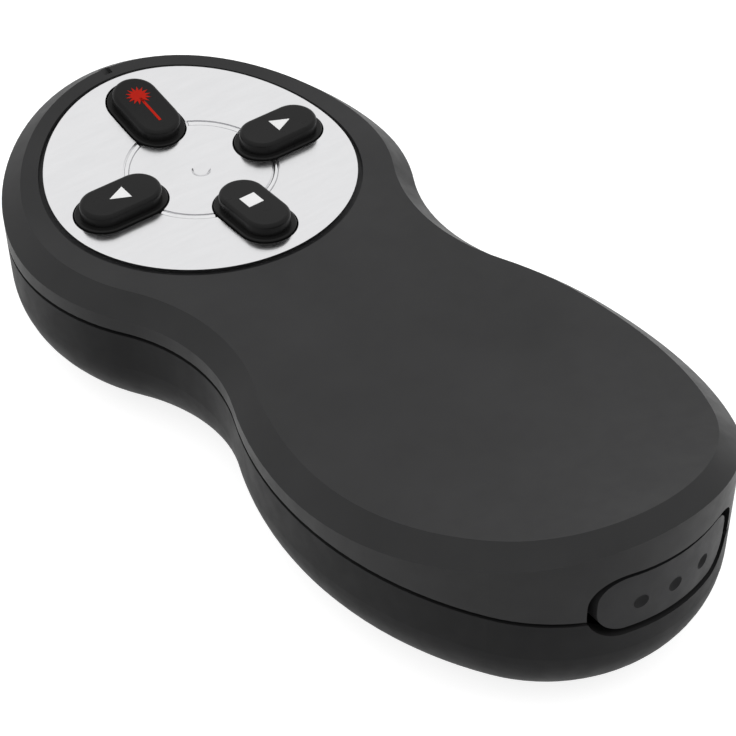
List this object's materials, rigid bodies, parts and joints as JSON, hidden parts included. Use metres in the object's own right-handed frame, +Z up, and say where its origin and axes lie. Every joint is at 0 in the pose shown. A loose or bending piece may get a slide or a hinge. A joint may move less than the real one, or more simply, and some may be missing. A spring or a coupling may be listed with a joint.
{
  "type": "wireless presentation clicker",
  "caption": "Waisted hand-held presentation remote with pill-shaped keys round a polished plate, a laser outlet in the nose and a USB receiver stowed in the tail.",
  "frame": {"origin": "centre of the flat underside's bounding box", "axes": "+Y towards the nose and laser outlet, +Z up out of the keys, +X to the right when the nose points away"},
  "size_m": [0.0482, 0.101, 0.025],
  "materials": {
    "shell_soft": "soft-touch matt black",
    "plate_chrome": "polished",
    "key_rubber": "satin black",
    "mat_rubber": "matt grey silicone",
    "board_green": "solder mask",
    "switch_steel": "stamped",
    "chip_black": "moulded",
    "crystal_steel": "plated",
    "barrel_brass": "turned",
    "lens_glass": "clear",
    "window_glass": "dark red",
    "cell_jacket": "printed jacket",
    "contact_nickel": "nickel plated",
    "screw_steel": "black oxide",
    "grip_plastic": "fine matt",
    "receiver_plastic": "satin",
    "shield_steel": "plated",
    "tongue_plastic": "moulded",
    "pin_gold": "gold plated",
    "dock_plastic": "moulded"
  },
  "bodies": {
    "casing": {"top_shell": "shell_soft", "bottom_shell": "shell_soft", "control_plate": "plate_chrome", "keypad_mat": "mat_rubber", "circuit_board": "board_green", "dome_switches": "switch_steel", "radio_chip": "chip_black", "crystal": "crystal_steel", "chip_parts": "chip_black", "laser_barrel": "barrel_brass", "laser_lens": "lens_glass", "laser_diode": "contact_nickel", "laser_window": "window_glass", "battery_left": "cell_jacket", "battery_right": "cell_jacket", "battery_springs": "contact_nickel", "battery_contacts": "contact_nickel", "case_screws": "screw_steel", "receiver_dock": "dock_plastic"},
    "key_laser": {"button_laser": "key_rubber"},
    "key_next": {"button_next": "key_rubber"},
    "key_blank": {"button_blank": "key_rubber"},
    "key_previous": {"button_previous": "key_rubber"},
    "door": {"battery_door": "shell_soft"},
    "receiver": {"receiver_grip": "grip_plastic", "receiver_case": "receiver_plastic", "receiver_board": "board_green", "receiver_shield": "shield_steel", "receiver_tongue": "tongue_plastic", "receiver_contacts": "pin_gold"}
  },
  "joints": [
    {"name": "laser_press", "type": "slide", "parent": "casing", "child": "key_laser", "axis": [0, 0.2149, -0.9766], "range_m": [0, 0.0005], "stiffness_N_per_m": 400, "springref_m": -0.0006},
    {"name": "next_press", "type": "slide", "parent": "casing", "child": "key_next", "axis": [0, 0.0551, -0.9985], "range_m": [0, 0.0005], "stiffness_N_per_m": 400, "springref_m": -0.0006},
    {"name": "blank_press", "type": "slide", "parent": "casing", "child": "key_blank", "axis": [0, 0, -1], "range_m": [0, 0.0005], "stiffness_N_per_m": 400, "springref_m": -0.0006},
    {"name": "previous_press", "type": "slide", "parent": "casing", "child": "key_previous", "axis": [0, 0.0551, -0.9985], "range_m": [0, 0.0005], "stiffness_N_per_m": 400, "springref_m": -0.0006},
    {"name": "receiver_slide", "type": "slide", "parent": "casing", "child": "receiver", "axis": [0, -1, 0], "range_m": [0, 0.03]},
    {"name": "door_hinge", "type": "hinge", "parent": "casing", "child": "door", "pos_m": [0, 0.02675, 0.0009], "axis": [1, 0, 0], "range_deg": [0, 80]}
  ]
}
